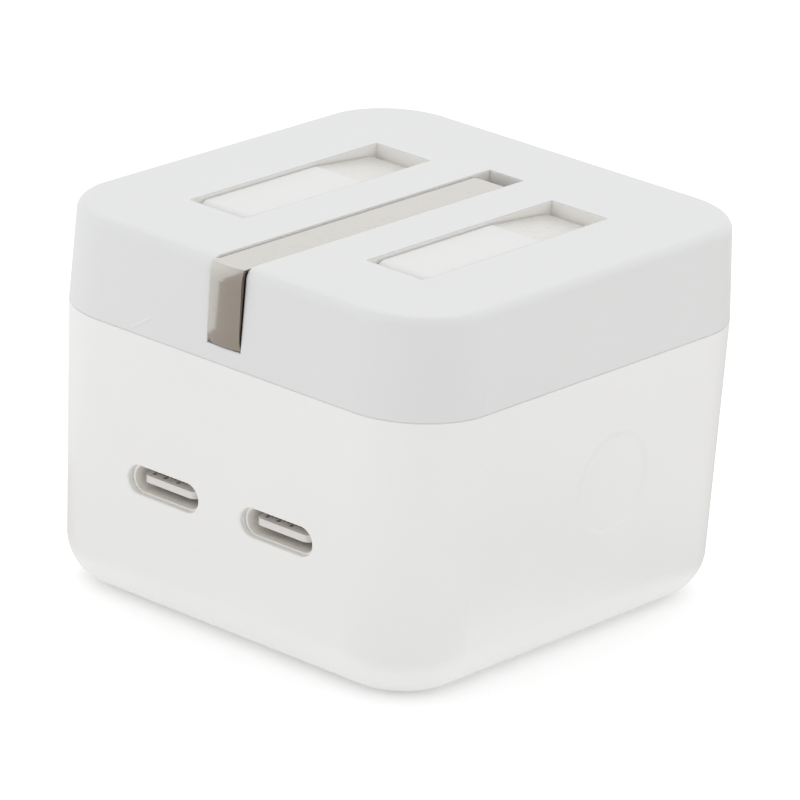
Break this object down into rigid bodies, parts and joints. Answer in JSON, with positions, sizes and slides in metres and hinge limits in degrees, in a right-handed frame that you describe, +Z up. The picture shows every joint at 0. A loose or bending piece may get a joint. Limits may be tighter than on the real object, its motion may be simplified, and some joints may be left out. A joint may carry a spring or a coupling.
{
  "type": "charging adapter",
  "caption": "Cube-shaped white mains charging adapter with folding flat mains pins that lie flush in its face, and oval charging ports in its front wall.",
  "frame": {"origin": "centre of the base, under the middle of the casing", "axes": "+Z up from the base to the plug face, +Y from the port face to the back, +X to the right seen from the port face"},
  "size_m": [0.0492, 0.0501, 0.0379],
  "materials": {
    "casing_plastic": "satin white",
    "sleeve_plastic": "satin white",
    "pin_metal": "satin nickel plate",
    "inner_plastic": "matte",
    "link_plastic": "matte",
    "steel": "satin",
    "spring_metal": "satin",
    "live_wire": "gloss",
    "neutral_wire": "gloss",
    "tongue_plastic": "matte",
    "contact_metal": "bright",
    "board": "satin",
    "ferrite": "matte",
    "winding": "satin",
    "can_sleeve": "gloss",
    "film_box": "gloss",
    "ceramic": "gloss",
    "moulding": "matte",
    "heat_plate": "satin",
    "barrier_film": "satin"
  },
  "bodies": {
    "casing": {"body_shell": "casing_plastic", "cap_shell": "casing_plastic", "pin_cradle": "inner_plastic", "board_link": "inner_plastic", "cradle_screws": "steel", "board_screws": "steel", "live_shaft": "steel", "neutral_shaft": "steel", "port_shell_left": "steel", "port_shell_right": "steel", "detent_spring": "spring_metal", "live_contact": "spring_metal", "neutral_contact": "spring_metal", "live_lead": "live_wire", "neutral_lead": "neutral_wire", "port_tongue_left": "tongue_plastic", "port_tongue_right": "tongue_plastic", "port_contacts_left": "contact_metal", "port_contacts_right": "contact_metal", "port_board": "board", "main_board": "board", "transformer_core": "ferrite", "common_mode_choke": "ferrite", "transformer_winding": "winding", "input_capacitor_left": "can_sleeve", "input_capacitor_right": "can_sleeve", "output_capacitor_left": "can_sleeve", "output_capacitor_right": "can_sleeve", "x_capacitor": "film_box", "y_capacitor": "ceramic", "fuse": "moulding", "bridge_rectifier": "moulding", "power_switch": "moulding", "heat_spreader": "heat_plate", "insulating_barrier": "barrier_film"},
    "earth": {"earth_pin": "pin_metal", "earth_carrier": "link_plastic", "earth_shaft": "steel"},
    "live": {"live_pin": "pin_metal", "live_sleeve": "sleeve_plastic"},
    "neutral": {"neutral_pin": "pin_metal", "neutral_sleeve": "sleeve_plastic"},
    "link": {"link_slider": "link_plastic"}
  },
  "joints": [
    {"name": "earth_fold", "type": "hinge", "parent": "casing", "child": "earth", "pos_m": [0, 0.00644, 0.02978], "axis": [-1, 0, 0], "range_deg": [0, 90]},
    {"name": "live_fold", "type": "hinge", "parent": "casing", "child": "live", "pos_m": [0.0111, -0.00999, 0.0337], "axis": [1, 0, 0], "range_deg": [0, 90]},
    {"name": "neutral_fold", "type": "hinge", "parent": "casing", "child": "neutral", "pos_m": [-0.0111, -0.00999, 0.0337], "axis": [1, 0, 0], "range_deg": [0, 90]},
    {"name": "link_slide", "type": "slide", "parent": "casing", "child": "link", "axis": [0, 1, 0], "range_m": [0, 0.00325]}
  ],
  "couplings": [
    {"joint": "live_fold", "follows": "earth_fold", "ratio": 1},
    {"joint": "neutral_fold", "follows": "earth_fold", "ratio": 1},
    {"joint": "link_slide", "follows": "earth_fold", "m_per_rad": 0.0020707}
  ]
}
